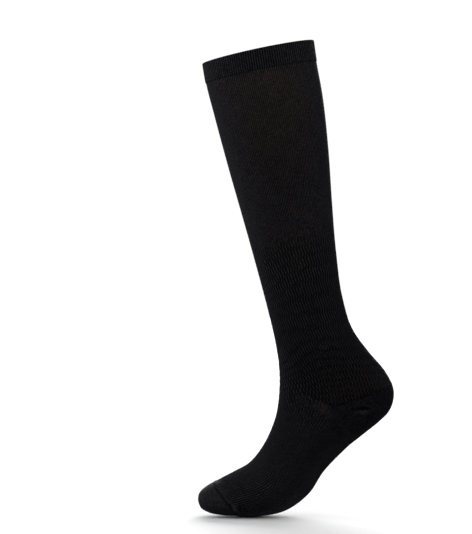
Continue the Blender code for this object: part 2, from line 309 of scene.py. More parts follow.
def zigzag_bands(needle, down):
    """Counts the zigzag's bands down the leg; a whole number is the line between two bands."""
    lengths = np.arange(0.0, 400.0, 1.0)
    widening = hump(lengths, ZIGZAG_MIDDLE, ZIGZAG_REACH)
    pitch = ZIGZAG_FINEST + (ZIGZAG_WIDEST - ZIGZAG_FINEST) * widening
    count = np.concatenate([[0.0], np.cumsum(1 / pitch)[:-1]])
    count -= np.interp(ZIGZAG_LINE, lengths, count)
    near = folded_needle(needle)
    slanted = 1 - hump(down, *LEVEL_BAND)
    slope = FRONT_SLOPE * slanted * soft_ramp(FRONT_SLOPE_FROM - near)
    slope += BACK_SLOPE * slanted * (down > LEVEL_BAND[0]) * soft_ramp(near - BACK_SLOPE_FROM)
    return np.interp(down - slope + 1.2 * wobble(needle, down, 8.0), lengths, count)


def ankle_bend(needle, away):
    """Rounds the turn the ribs make at the ankle line, away mm from it, in needles."""
    share = np.minimum(folded_needle(needle) / ANKLE_CORNER, 1.0)
    side = np.where(needle % NEEDLES < NEEDLES / 2, -1.0, 1.0)
    return side * ANKLE_BEND * np.sin(np.pi * share) * np.exp(-np.abs(away) / ANKLE_BEND_REACH)


def racked_ribs(needle, down, end):
    """The racking in needles, the ribs' strength and the calf's share; the ankle is at end."""
    bands = zigzag_bands(needle, down)
    share = bands - np.floor(bands)
    zigzag = rise(down, *ZIGZAG_BEGINS) * fall(down, end, end + 30)
    stroke = np.where(share < RACKED_SHARE, share / RACKED_SHARE - 0.5,
                      0.5 - (share - RACKED_SHARE) / (1 - RACKED_SHARE))
    racking = RACKING * zigzag * stroke + 0.1 * wobble(needle, down, 1.0)
    # The ribs sink where they lean back, a little out of step from rib to rib.
    broken = (bands + 0.08 * np.sin(5.1 * np.floor(needle / 2 + 0.25))) % 1.0
    back = (1 + RACKED_SHARE) / 2
    sunk = hump(np.minimum(np.abs(broken - back), np.abs(broken + 1 - back)), 0.0, SUNK_SHARE)
    deep = (0.4 + 0.35 * rise(down, *LOWER_SHIN)) * (1 - 0.6 * rise(folded_needle(needle), 48, 64))
    # The calf's wales are broken into dashes, each wale out of step with the next.
    column = np.floor(needle + 0.5)
    dash = cycle(down / DASH + column / 2 + 0.12 * np.sin(column * 2.4))
    calf = fall(down, *CALF_ENDS)
    strength = 1 - calf * 0.35 * (1 - dash) - zigzag * deep * sunk
    return racking + ankle_bend(needle, end - down), strength, calf


def wale_profile(needle, odd):
    """1 on a raised wale, odd on a sunk one and 0 in the grooves between."""
    phase = np.abs(((needle + 1) % 2) - 1)
    return np.interp(phase, [0.0, 0.5, 1.0], [1.0, 0.0, 1.0]) * np.where(phase < 0.5, 1.0, odd)


# ---------------------------------------------------------------- the cloth of the leg and the foot
# In each patch below, the limits after near are in needles from the front and those after down in
# mm, and the number before them is how much the patch adds, lightens or darkens at its fullest.

# Its raised value darkens the grooves as painted shade, and its lightness holds painted light and shade.
def shading(rib, sheer=0.0, tone=1.0):
    """The cloth attribute: how raised, how sheer and how light the knit is at each point."""
    return np.stack(np.broadcast_arrays(rib, sheer, tone), axis=-1).astype(float)


def inner_shading(shape):
    """The plain inside, the same all over."""
    return shading(np.full(shape, 0.4), 0.0, 0.8)


def above_heel(near, down, end):
    """The thin patch at the back, above the middle of the heel."""
    return hump(near, 77, 7.0) * rise(down, end - 22, end - 4)


def leg_sheer(needle, down, end, uneven):
    """Where the leg is stretched thin: below the welt, beside the calf and near the heel."""
    near, aside = folded_needle(needle), np.abs(np.sin(plain_turn(needle)))
    sheer = 0.45 * fall(down, 38, 170) + 0.1 * rise(down, 38, 120) * fall(down, 190, 270)
    sheer = sheer * rise(down, 20, 30) * aside ** 3
    sheer = np.clip(sheer * (1 + 0.35 * uneven), 0, 1)
    warmer = rise(near, 36, 46) * fall(near, 60, 76) * rise(down, end - 40, end - 6)
    return np.maximum(np.maximum(sheer, 0.2 * above_heel(near, down, end)), 0.13 * warmer)


def leg_tone_and_painted_light(near, down, end, uneven):
    """How light the leg is: darker to the ankle, painted shade beside the calf, painted light on the lower
    shin.
    """
    distances, tones = zip(*LEG_TONES)
    tone = np.interp(down, distances, tones) * (1 + 0.06 * uneven)
    # Painted light lifts the lower shin, and painted shade darkens the shin near the welt.
    shin = fall(near, 8, 26)
    tone = tone * (1 + 0.08 * shin + 0.24 * shin * rise(down, *LOWER_SHIN))
    tone = tone * (1 - 0.12 * shin * fall(down, 70, 120))
    # Painted shade darkens the sides and back, most beside the calf.
    side = hump(near, SIDE, 14)
    tone = tone * (1 - 0.06 * side * hump(down, 346, 14))
    tone = tone * (1 + 0.12 * fall(near, 48, 58) * rise(down, end - 20, end - 5))
    calf_side = side * rise(down, 20, 100) * fall(down, 150, 240)
    tone = tone * (1 - 0.07 * rise(near, 20, 34) - 0.17 * calf_side)
    # The heel's splicing runs on a little above its corners.
    spliced = rise(near, 40, 46) * fall(near, 62, 72) * rise(down, end - 5, end - 2)
    return tone * (1 + 0.22 * above_heel(near, down, end)) * (1 - 0.35 * spliced)


def leg_cloth(needle, down, end):
    """The leg's racking, height and shading, down to the ankle line at end."""
    racking, strength, calf = racked_ribs(needle, down, end)
    near, uneven = folded_needle(needle), wobble(needle, down, 4.0)
    finer = rise(near, 60, 78) * rise(down, 330, 365)
    wale = wale_profile(needle, 0.1 + 0.85 * calf + 0.5 * finer) * strength
    # On the sides the grooves' painted shade is softened.
    soft = 0.42 * hump(near, SIDE, 14) * rise(down, 200, 250)
    light = 0.07 + 0.85 * (wale * (1 - soft) + 0.35 * soft)
    sheer = leg_sheer(needle, down, end, uneven)
    return racking, RIB_RISE * wale, shading(light, sheer, leg_tone_and_painted_light(near, down, end, uneven))


def even_ribs(near, down):
    """The patch below the heel where the sunk wales stand higher."""
    return rise(near, 38, 52) * rise(down, 12, 20) * fall(down, 50, 90)


def foot_splicing(near, down):
    """Where the heel's splicing runs on into the foot, below its corners."""
    return rise(near, 37, 43) * fall(down, 3.5, 8.0)


def foot_ribs(needle, down, end):
    """The foot's racking, its ribs, which soon turn finer than the leg's, and its plain sole."""
    near = folded_needle(needle)
    sole = rise(-np.cos(plain_turn(needle)), *PLAIN_SOLE)
    racked, strength, _ = racked_ribs(needle, down + end, end)
    waves = wobble(needle, down, 2.0) + 0.8 * np.sin(0.7 * down + 0.9 * needle)
    racking = racked + 0.22 * waves * (1 - sole) * rise(down, 0, 12)
    column = needle * (FOOT_WALES / NEEDLES)
    dash = cycle(down / FOOT_DASH + 0.37 * np.floor(column / 2 + 0.25))
    odd = 0.1 + 0.6 * rise(near, 15, 28) * rise(down, 2, 6) * fall(down, 12, 30)
    odd += 0.45 * even_ribs(near, down)
    finer = rise(down, 3, 10)
    wale = wale_profile(needle, odd) * (1 - finer)
    wale += wale_profile(column, odd * (1 - 0.8 * finer)) * finer
    wale = wale * (1 - sole) * strength * (1 - 0.4 * dash * rise(down, 0, 12))
    wale += 0.75 * sole * wale_profile(column, 0.4)
    spliced = foot_splicing(near, down)
    return racking, wale * (1 - spliced) + 0.45 * spliced, sole


def toe_edge(near, to_toe):
    """The last courses before the toe: where they are plain, the ear and the rolled ridge."""
    depth = 14 - 6 * rise(near, 26, 46)
    ear = hump(near, 50, 6) * fall(to_toe, 5.5, 8.0)
    return np.maximum(fall(to_toe, depth - 7.5, depth), ear), ear, hump(to_toe, 3.4, 1.5)


def foot_tone_and_painted_light(near, down, to_toe):
    """How light the foot is: dark near the ankle and at the seam, painted shade behind its top edge,
    painted light below.
    """
    _, ear, ridge = toe_edge(near, to_toe)
    # The rolled ridge gets a painted highlight.
    tone = 0.56 + 0.13 * rise(down, 8, 22) + 0.32 * rise(down, 40, 120) + 0.12 * ridge
    # Painted light on the foot's top by the ankle.
    tone = tone + 0.14 * fall(near, 8, 24) * fall(down, 30, 60)
    # Painted light lifts the underside of the ball.
    under_ball = rise(down, 80, 115) * rise(near, 50, 66)
    tone = tone * (1 - 0.1 * rise(near, 36, 50) - 0.08 * even_ribs(near, down) + 0.95 * under_ball)
    # Painted light lifts the arch's underside, and a painted highlight the ear.
    arch = rise(down, 24, 40) * fall(down, 84, 104) * rise(near, 50, 60)
    seam_line = 0.95 * hump(to_toe, 0.0, 0.6) * (1 - 0.8 * rise(near, *EAR_BEGINS))
    tone = tone * (1 + 0.24 * arch) * (1 + 0.7 * ear) * (1 - seam_line)
    # Painted shade darkens the top just behind the toe's edge.
    return tone * (1 - 0.55 * fall(to_toe, 6, 14) * fall(near, 12, 28))


def heel_spots(needle, down):
    """The thin spots by the heel's corner, one large and one small, broken up by the knit."""
    near = folded_needle(needle)
    spot = np.exp(-((near - 37.5) / 2.5) ** 2 - ((down - 4.0) / 3.5) ** 2)
    spot = spot + 0.5 * np.exp(-((near - 33.0) / 2.0) ** 2 - ((down - 2.0) / 2.0) ** 2)
    return spot * (0.6 + 0.4 * np.sin(3.1 * needle + 2.0 * down))


def foot_cloth(needle, down, end):
    """The foot's racking, height and shading; its distances run on from the leg's end."""
    racking, wale, sole = foot_ribs(needle, down, end)
    near, to_toe = folded_needle(needle), down.max() - down
    plain, _, ridge = toe_edge(near, to_toe)
    height = RIB_RISE * wale * (1 - 0.8 * plain) + (0.5 + 0.25 * rise(near, 12, 30)) * ridge
    wale = wale * (1 - 0.7 * plain) + 0.27 * plain
    # On the sides the grooves' painted shade is softened.
    soft = 0.3 * rise(near, 14, 24) * fall(near, 40, 50) * fall(down, 40, 70)
    light = wale * (1 - soft) + 0.5 * soft + 0.05 * sole
    uneven, spots = wobble(needle, down, 6.0), heel_spots(needle, down)
    tone = foot_tone_and_painted_light(near, down, to_toe) * (1 + 0.05 * uneven)
    tone = tone * (1 - 0.35 * foot_splicing(near, down))
    return racking, height, shading(light, 0.4 * spots, tone * (1 + 0.15 * spots))


# ---------------------------------------------------------------- meshes
class Shell:
    """Collects grids of points with their knit coordinates and shading, and makes one object."""

    def __init__(self):
        self.points, self.uvs, self.shades, self.faces, self.count = [], [], [], [], 0

    def add(self, points, uv, shade, closed=True, inward=False):
        """Adds a grid of points, in rows down the tube, and returns their numbers."""
        rows, columns = points.shape[:2]
        numbers = self.count + np.arange(rows * columns).reshape(rows, columns)
        self.count += rows * columns
        for store, values in ((self.points, points), (self.uvs, uv), (self.shades, shade)):
            store.append(values.reshape(rows * columns, -1))
        here = numbers if closed else numbers[:, :-1]
        following = np.roll(numbers, -1, axis=1) if closed else numbers[:, 1:]
        quads = np.stack([here[:-1], here[1:], following[1:], following[:-1]], axis=-1).reshape(-1, 4)
        self.faces += (quads[:, ::-1] if inward else quads).tolist()
        return numbers

    def rim(self, outer, inner, at_top, closed=True):
        """Joins an outer edge to an inner one with as many points or fewer."""
        steps = len(outer) // len(inner)
        middle = (steps + 1) // 2
        faces = []
        for j in range(len(inner) if closed else len(inner) - 1):
            start, end = inner[j], inner[(j + 1) % len(inner)]
            arc = [outer[(j * steps + i) % len(outer)] for i in range(steps + 1)]
            faces += [(arc[i], arc[i + 1], start if i < middle else end) for i in range(steps)]
            faces.append((arc[middle], end, start))
        self.faces += faces if at_top else [face[::-1] for face in faces]

    def tip(self, edge, point, uv, shade, inward=False):
        """Closes the last row to one point."""
        number = self.count
        self.count += 1
        for store, values in ((self.points, point), (self.uvs, uv), (self.shades, shade)):
            store.append(np.asarray(values, float).reshape(1, -1))
        for here, following in zip(edge, np.roll(edge, -1)):
            self.faces.append((following, here, number) if inward else (here, number, following))

    def make(self, name, material, wales=NEEDLES):
        """Makes the object. Its map runs on over the line where the last wale meets the first."""
        mesh = bpy.data.meshes.new(name)
        mesh.from_pydata((np.concatenate(self.points) * MM).tolist(), [], self.faces)
        mesh.update()
        corners = np.empty(len(mesh.loops), dtype=np.int32)
        mesh.loops.foreach_get("vertex_index", corners)
        uvs = np.concatenate(self.uvs)[corners]
        starts = np.empty(len(mesh.polygons), dtype=np.int32)
        mesh.polygons.foreach_get("loop_start", starts)
        face_of = np.repeat(np.arange(len(starts)), np.diff(np.append(starts, len(corners))))
        highest = np.maximum.reduceat(uvs[:, 0], starts)[face_of]
        uvs[:, 0] += np.where(highest - uvs[:, 0] > wales / 2, wales, 0)
        mesh.uv_layers.new(name="knit").data.foreach_set("uv", uvs.reshape(-1))
        shade = mesh.attributes.new("cloth", "FLOAT_VECTOR", "POINT")
        shade.data.foreach_set("vector", np.concatenate(self.shades).reshape(-1))
        mesh.shade_smooth()
        mesh.materials.append(material)
        made = bpy.data.objects.new(name, mesh)
        bpy.context.scene.collection.objects.link(made)
        return made


def lay(tube, needle, down, racking=0.0, height=0.0):
    """Points of the cloth at each needle and distance down, raised by height, normals and folds."""
    turn = even_turns(tube, down, needle + racking)
    point, normal = tube.point(down, turn), tube.normal(down, turn)
    folds = fold_height(point)
    return point + normal * (folds + height)[..., None], normal, folds


def beside_seam(needle, down, seam):
    """Distances down a tube, drawn back near the toe's seam to run along it, where it has one."""
    if seam is None:
        return down
    shift = SEAM_SHIFT * hump(folded_needle(needle), *SEAM_SHIFT_AT)
    return down - shift * fall(np.abs(seam - down), 0, SEAM_DRAWS)


def painted_fold_light(folds, ridge, crease):
    """Painted highlight on the folds' ridges and painted shade in their creases, by their height."""
    return np.clip(1 + np.where(folds > 0, ridge, crease) * folds, 0.03, 4.0)


def tube_piece(tube, downs, per_needle, knit, ankle, wall, wales=NEEDLES, seam=None):
    """A knitted wall open at both ends: an outer face in relief and a plain, thinned inner one.

    knit is leg_cloth or foot_cloth and ankle where it has the ankle line. wales is how many are
    drawn round it, and seam is how far down the toe's seam is, where the tube has one.
    """
    down, needle = np.meshgrid(downs, np.arange(0, NEEDLES, 1 / per_needle), indexing="ij")
    racking, height, shade = knit(needle, down, ankle)
    laid = beside_seam(needle, down, seam)
    outer, _, folds = lay(tube, needle, laid, racking, height)
    # Painted highlight on the folds' ridges, painted shade in their creases.
    shade[..., 2] *= painted_fold_light(folds, 0.25, 0.6)
    shell = Shell()
    uv = np.stack([needle * (wales / NEEDLES), down / COURSE], -1)
    outside = shell.add(outer, uv, shade)
    # The inner face has every fourth row, and one point for every other needle.
    rows = np.unique(np.append(np.arange(0, len(downs), 4), len(downs) - 1))
    part = np.ix_(rows, np.arange(0, needle.shape[1], 2 * per_needle))
    point, normal, _ = lay(tube, needle[part], laid[part], racking[part])
    inside = shell.add(point - normal * wall, uv[part], inner_shading(point.shape[:2]), inward=True)
    shell.rim(outside[0], inside[0], at_top=True)
    shell.rim(outside[-1], inside[-1], at_top=False)
    return shell


def welt_profile(low):
    """The band's section: mm down, mm out and lightness, from its hem at low up, over and down."""
    radius, inner = WELT_WALL / 2, WELT_STANDS_OUT - WELT_WALL
    # The lightness of the hem's first two rows is painted shade under the band's edge.
    profile = [(low, WELT_STANDS_OUT - 0.55, 0.3), (low - 0.25, WELT_STANDS_OUT - 0.15, 0.6)]
    profile += [(down, WELT_STANDS_OUT, 1.0) for down in np.linspace(low - 0.8, radius, 26)]
    for angle in np.linspace(0, np.pi, 9)[1:]:
        out = WELT_STANDS_OUT - radius * (1 - math.cos(angle))
        profile.append((radius * (1 - math.sin(angle)), out, 1.0))
    profile += [(down, inner, 0.8) for down in np.linspace(radius, low, 8)[1:]]
    return np.array(profile).T


def make_welt(leg, material):
    """The turned band: up its outer layer, over the fold at the top and down its inner layer."""
    down, out, light = welt_profile(leg.marks[WELT_SEAM] - SEAM_GAP / 2)
    travel = np.concatenate([[0.0], np.cumsum(np.hypot(np.diff(down), np.diff(out)))])
    needle, down = np.meshgrid(np.arange(4 * WELT_WALES) * (NEEDLES / WELT_WALES / 4), down)
    out, light, travel = (np.broadcast_to(values[:, None], needle.shape)
                          for values in (out, light, travel))
    across = needle * (WELT_WALES / NEEDLES)
    wale, uneven = cycle(across), wobble(needle, travel, 9.0)
    point, _, _ = lay(leg, needle, down, 0.0, out + 0.22 * wale * (light > 0.9) + 0.12 * uneven)
    # Painted shade darkens the band's sides.
    side = hump(folded_needle(needle), SIDE, 16)
    tone = light * (1.0 + 0.06 * uneven) * (1 - 0.27 * side)
    shell = Shell()
    uv = np.stack([across, -travel / COURSE], -1)
    numbers = shell.add(point, uv, shading(0.95 * wale, 0.0, tone), inward=True)
    shell.rim(numbers[0], numbers[-1], at_top=False)
    return shell.make("welt_cloth", material, WELT_WALES)


def make_leg(leg, material):
    """The tube from under the welt to the heel's lines: 265 rows with two points a needle."""
    end = leg.marks[-1]
    downs = np.linspace(leg.marks[WELT_SEAM] + SEAM_GAP / 2, end, 265)
    return tube_piece(leg, downs, 2, leg_cloth, end, LEG_WALL).make("leg_cloth", material)


def make_foot(foot, leg_end, material):
    """The tube from the heel's lines to the toe's seam: 138 rows with four points a needle."""
    seam = foot.marks[TOE_SEAM]
    downs = np.linspace(0.0, seam - SEAM_GAP / 2, 138)
    shell = tube_piece(foot, downs, 4, foot_cloth, leg_end, FOOT_WALL, FOOT_WALES, seam)
    return shell.make("foot_cloth", material, FOOT_WALES)


def make_toe(foot, material):
    """The plain cap, from the linked seam to the point where its wales meet."""
    seam, end = foot.marks[TOE_SEAM], foot.marks[TOE_TIP]
    share = np.linspace(0, 1, 45)[:-1]
    downs = seam + SEAM_GAP / 2 + (end - seam - SEAM_GAP / 2) * share
    down, needle = np.meshgrid(downs, np.arange(0, NEEDLES, 0.5), indexing="ij")
    share, laid = share[:, None], beside_seam(needle, down, seam)
    uneven, near = wobble(needle, down, 7.0), folded_needle(needle)
    # The cap is drawn in at the seam, stands out a little on top, and runs smooth to its tip.
    drawn_in = hump(down, downs[0], 0.7)
    height = 0.12 * uneven * (1 - share) - 0.35 * drawn_in + 0.4 * fall(near, 10, 26)
    point, _, folds = lay(foot, needle, laid, 0.0, height * fall(share, 0.8, 1.0))
    # Painted shade darkens the cap's top, and painted light lifts its underside.
    tone = 0.95 * (1 - 0.38 * fall(near, 4, 24) + 0.35 * rise(near, 46, 62))
    tone = tone * (1 - 0.9 * drawn_in * (1 - 0.8 * rise(near, *EAR_BEGINS)) + 0.05 * uneven)
    # Painted shade darkens the tip, and the folds get a painted highlight and painted shade.
    tone = tone * (1 - 0.25 * rise(share, 0.5, 0.95)) * painted_fold_light(folds, 0.1, 0.6)
    shell = Shell()
    uv = np.stack([needle, down / COURSE], -1)
    outside = shell.add(point, uv, shading(0.6 * (1 - 0.7 * drawn_in), 0.0, tone))
    rows = np.append(np.arange(0, len(downs) - 1, 4), len(downs) - 1)
    part = np.ix_(rows, np.arange(0, 2 * NEEDLES, 4))
    point, normal, _ = lay(foot, needle[part], laid[part])
    inside = shell.add(point - normal * TOE_WALL, uv[part], inner_shading(point.shape[:2]), inward=True)
    tip, tip_uv = foot.point(end, 0.0), (0, end / COURSE)
    shell.tip(outside[-1], tip, tip_uv, shading(0.6))
    shell.tip(inside[-1], tip + (TOE_WALL, 0, 0), tip_uv, inner_shading(()), inward=True)
    shell.rim(outside[0], inside[0], at_top=True)
    return shell.make("toe_cloth", material)


def make_heel(heel, material):
    """The pocket: a patch with a wall, trimmed back from the leg and the foot at its lines."""
    first = math.acos(HEEL_POINT)
    last = 2 * math.pi - first
    turns, bottom, half_width = np.linspace(first, last, 220), heel.marks[-1], heel.rings[0, 6]
    along, around = np.meshgrid(np.linspace(0.0, bottom, 60), turns, indexing="ij")
    length = np.linalg.norm(np.diff(heel.point(along, around), axis=0), axis=-1).sum(axis=0)
    trim = bottom * HEEL_TRIM / length
    share = np.linspace(0, 1, 61)[:, None]
    down = trim + (bottom - 2 * trim) * share
    turn = np.broadcast_to(turns, down.shape)
    needle = turn * (NEEDLES / (2 * np.pi))
    # How far each point is from the edge, in mm, says where the cloth is a little sunk.
    to_corner = np.minimum(turn - first, last - turn) * half_width
    sunk = hump(np.minimum(np.minimum(share, 1 - share) * length, to_corner), 0.0, 1.2)
    uneven, wale = wobble(needle, share * 60, 3.0), wale_profile(needle, 1.0)
    plain, normal = heel.point(down, turn), heel.normal(down, turn)
    folds = fold_height(plain)
    plain = plain + normal * folds[..., None]
    outer = plain + normal * (0.15 * uneven + 0.15 * wale - 0.1 * sunk)[..., None]
    # Painted highlight on the folds' ridges, painted shade in their creases.
    tone = (1.0 + 0.05 * uneven) * painted_fold_light(folds, 2.2, 0.55)
    shell = Shell()
    uv = np.stack([needle, share * length / COURSE], -1)
    outside = shell.add(outer, uv, shading(0.3 + 0.3 * wale, 0.0, tone), closed=False)
    inside = shell.add(plain - normal * HEEL_WALL, uv, inner_shading(needle.shape), closed=False,
                       inward=True)
    rings = [np.concatenate([n[0], n[1:-1, -1], n[-1][::-1], n[-2:0:-1, 0]]) for n in (outside, inside)]
    shell.rim(*rings, at_top=True)
    return shell.make("heel_cloth", material)


# ---------------------------------------------------------------- materials
def to_linear(hex_colour):
    """Linear RGBA from an sRGB hex colour."""
    channels = [int(hex_colour[i:i + 2], 16) / 255 for i in (1, 3, 5)]
    return tuple(c / 12.92 if c <= 0.04045 else ((c + 0.055) / 1.055) ** 2.4 for c in channels) + (1.0,)


def add(tree, kind, inputs=None, **settings):
    """Adds a node, sets its properties, and sets or links its inputs by name or number."""
    made = tree.nodes.new(kind)
    for key, value in settings.items():
        setattr(made, key, value)
    for key, value in (inputs or {}).items():
        if isinstance(value, bpy.types.NodeSocket):
            tree.links.new(value, made.inputs[key])
        else:
            made.inputs[key].default_value = value
    return made


def knit_material(name, groove, crest, warm="#4A3A30", stitch=0.5, fuzziness=0.6):
    """Knitted yarn with a short nap: its grooves darkened as painted shade, its loops lighter.

    groove, crest and warm are its colours deep in the knit, on its crests and where it is
    stretched thin. stitch is how deep its loops are drawn and fuzziness how strong its fuzz is.
    """
    # groove is painted shade deep in the knit.
    material = bpy.data.materials.new(name)
    material.use_nodes = True
    tree = material.node_tree
    tree.nodes.clear()
    knit = add(tree, "ShaderNodeUVMap", uv_map="knit")
    uv = add(tree, "ShaderNodeSeparateXYZ", {0: knit.outputs["UV"]})
    cloth = add(tree, "ShaderNodeAttribute", attribute_name="cloth")
    shade = add(tree, "ShaderNodeSeparateXYZ", {0: cloth.outputs["Vector"]})
    # A stitch is a V of two legs: 0 down its middle, half a needle out to its edge.
    aside = add(tree, "ShaderNodeMath", {0: uv.outputs["X"], 1: 0.5}, operation="PINGPONG")
    leaning = add(tree, "ShaderNodeMath", {0: aside.outputs[0], 1: -1.1, 2: uv.outputs["Y"]},
                  operation="MULTIPLY_ADD")
    angle = add(tree, "ShaderNodeMath", {0: leaning.outputs[0], 1: 2 * math.pi}, operation="MULTIPLY")
    wave = add(tree, "ShaderNodeMath", {0: angle.outputs[0]}, operation="SINE")
    leg = add(tree, "ShaderNodeMapRange", {"Value": aside.outputs[0], "From Min": 0.5, "From Max": 0.15},
              interpolation_type="SMOOTHSTEP")
    loop = add(tree, "ShaderNodeMath", {0: wave.outputs[0], 1: 0.35, 2: 0.65}, operation="MULTIPLY_ADD")
    loops = add(tree, "ShaderNodeMath", {0: loop.outputs[0], 1: leg.outputs["Result"]},
                operation="MULTIPLY")
    # Every stitch takes up its yarn a little differently.
    column = add(tree, "ShaderNodeMath", {0: uv.outputs["X"]}, operation="ROUND")
    row = add(tree, "ShaderNodeMath", {0: leaning.outputs[0]}, operation="FLOOR")
    cell = add(tree, "ShaderNodeCombineXYZ", {0: column.outputs[0], 1: row.outputs[0]})
    chance = add(tree, "ShaderNodeTexWhiteNoise", {"Vector": cell.outputs[0]}, noise_dimensions="2D")
    place = add(tree, "ShaderNodeTexCoord")
    # Noise scales are in patches to the metre, so 600 is 1.7 mm.
    here = place.outputs["Object"]
    fibre = add(tree, "ShaderNodeTexNoise", {"Vector": here, "Scale": 600.0, "Detail": 1.0})
    patch = add(tree, "ShaderNodeTexNoise", {"Vector": here, "Scale": 90.0, "Detail": 3.0})
    # The raised value, the loops and each stitch's chance mix the grooves' painted shade with the crests'
    # colour.
    light = add(tree, "ShaderNodeMath", {0: loops.outputs[0], 1: stitch, 2: shade.outputs["X"]},
                operation="MULTIPLY_ADD")
    light = add(tree, "ShaderNodeMath", {0: chance.outputs["Value"], 1: 0.22, 2: light.outputs[0]},
                operation="MULTIPLY_ADD")
    light = add(tree, "ShaderNodeMapRange", {"Value": light.outputs[0], "From Min": 0.42, "From Max": 1.08},
                interpolation_type="SMOOTHSTEP")
    body = add(tree, "ShaderNodeMix",
               {0: light.outputs["Result"], 6: to_linear(groove), 7: to_linear(crest)}, data_type="RGBA")
    # Where the knit is thin, warm spots show between its loops.
    spots = add(tree, "ShaderNodeMapRange", {"Value": chance.outputs["Value"], "From Min": 0.25,
                                             "To Min": 0.6, "To Max": 1.1})
    thin = add(tree, "ShaderNodeMath", {0: shade.outputs["Y"], 1: spots.outputs["Result"]},
               operation="MULTIPLY", use_clamp=True)
    tinted = add(tree, "ShaderNodeMix", {0: thin.outputs[0], 6: body.outputs[2], 7: to_linear(warm)},
                 data_type="RGBA")
    # Fuzz and slow patches lighten and darken it all. Real fuzz is ten times finer, too fine to show.
    fuzz = add(tree, "ShaderNodeMapRange", {"Value": fibre.outputs["Fac"], "From Min": 0.3, "From Max": 0.7,
                                            "To Min": 1 - fuzziness, "To Max": 1 + fuzziness})
    patches = add(tree, "ShaderNodeMapRange", {"Value": patch.outputs["Fac"], "From Min": 0.3,
                                               "From Max": 0.7, "To Min": 0.92, "To Max": 1.08})
    worn = add(tree, "ShaderNodeMath", {0: fuzz.outputs["Result"], 1: patches.outputs["Result"]},
               operation="MULTIPLY")
    # The cloth's lightness, with its painted light and shade, scales the colour.
    toned = add(tree, "ShaderNodeMath", {0: worn.outputs[0], 1: shade.outputs["Z"]}, operation="MULTIPLY")
    # The dye takes a little redder or bluer from one fibre bundle to the next.
    fleck = add(tree, "ShaderNodeTexNoise", {"Vector": here, "Scale": 500.0, "Detail": 1.0})
    dye = add(tree, "ShaderNodeVectorMath",
              {0: fleck.outputs["Color"], 1: (0.8, 0.8, 0.8), 2: (0.6, 0.6, 0.6)},
              operation="MULTIPLY_ADD")
    dyed = add(tree, "ShaderNodeVectorMath", {0: tinted.outputs[2], 1: dye.outputs[0]},
               operation="MULTIPLY")
    colour = add(tree, "ShaderNodeVectorMath", {0: dyed.outputs[0], "Scale": toned.outputs[0]},
                 operation="SCALE")
    relief = add(tree, "ShaderNodeMath", {0: fibre.outputs["Fac"], 1: 0.5, 2: loops.outputs[0]},
                 operation="MULTIPLY_ADD")
    bump = add(tree, "ShaderNodeBump",
               {"Strength": stitch, "Distance": 0.3 * MM, "Height": relief.outputs[0]})
    yarn = add(tree, "ShaderNodeBsdfPrincipled", {
        "Base Color": colour.outputs[0], "Normal": bump.outputs[0], "Roughness": 0.85,
        "Specular IOR Level": 0.012, "Sheen Weight": 0.006, "Sheen Roughness": 0.35,
        "Sheen Tint": to_linear("#C8D0FF")})
    add(tree, "ShaderNodeOutputMaterial", {0: yarn.outputs[0]})
    return material


def thread_material(name, colour):
    """Twisted polyester sewing thread: smooth filament, so a little glossier than the knit."""
    material = bpy.data.materials.new(name)
    material.use_nodes = True
    tree = material.node_tree
    tree.nodes.clear()
    place = add(tree, "ShaderNodeTexCoord")
    twist = add(tree, "ShaderNodeTexNoise", {"Vector": place.outputs["Object"], "Scale": 1800.0})
    mixed = add(tree, "ShaderNodeMix",
                {0: twist.outputs["Fac"], 6: to_linear(colour), 7: to_linear("#101014")},
                data_type="RGBA")
    yarn = add(tree, "ShaderNodeBsdfPrincipled", {"Base Color": mixed.outputs[2], "Roughness": 0.7,
                                                  "Specular IOR Level": 0.02})
    add(tree, "ShaderNodeOutputMaterial", {0: yarn.outputs[0]})
    return material


# ---------------------------------------------------------------- seams
def stitch_tree(name):
    """Geometry nodes that lay one bead of thread on every point, along the point's own run."""
    tree = bpy.data.node_groups.new(name, "GeometryNodeTree")
    face = tree.interface
    face.new_socket("Geometry", in_out="INPUT", socket_type="NodeSocketGeometry")
    for label in ("Length", "Width", "Rise"):
        face.new_socket(label, in_out="INPUT", socket_type="NodeSocketFloat")
    face.new_socket("Thread", in_out="INPUT", socket_type="NodeSocketMaterial")
    face.new_socket("Geometry", in_out="OUTPUT", socket_type="NodeSocketGeometry")
    given = tree.nodes.new("NodeGroupInput")
    run = add(tree, "GeometryNodeInputNamedAttribute", {"Name": "run"}, data_type="FLOAT_VECTOR")
    out = add(tree, "GeometryNodeInputNamedAttribute", {"Name": "out"}, data_type="FLOAT_VECTOR")
    bead = add(tree, "GeometryNodeMeshUVSphere", {"Segments": 8, "Rings": 5, "Radius": 0.5})
    size = add(tree, "ShaderNodeCombineXYZ", {0: given.outputs["Length"], 1: given.outputs["Width"],
                                              2: given.outputs["Rise"]})
    first = add(tree, "FunctionNodeAlignRotationToVector", {"Vector": out.outputs["Attribute"]}, axis="Z")
    turned = add(tree, "FunctionNodeAlignRotationToVector",
                 {"Rotation": first.outputs[0], "Vector": run.outputs["Attribute"]},
                 axis="X", pivot_axis="Z")
    laid = add(tree, "GeometryNodeInstanceOnPoints", {
        "Points": given.outputs["Geometry"], "Instance": bead.outputs["Mesh"],
        "Rotation": turned.outputs[0], "Scale": size.outputs[0]})
    real = add(tree, "GeometryNodeRealizeInstances", {0: laid.outputs[0]})
    smooth = add(tree, "GeometryNodeSetShadeSmooth", {0: real.outputs[0]})
    dressed = add(tree, "GeometryNodeSetMaterial",
                  {0: smooth.outputs[0], "Material": given.outputs["Thread"]})
    add(tree, "NodeGroupOutput", {0: dressed.outputs[0]})
    return tree


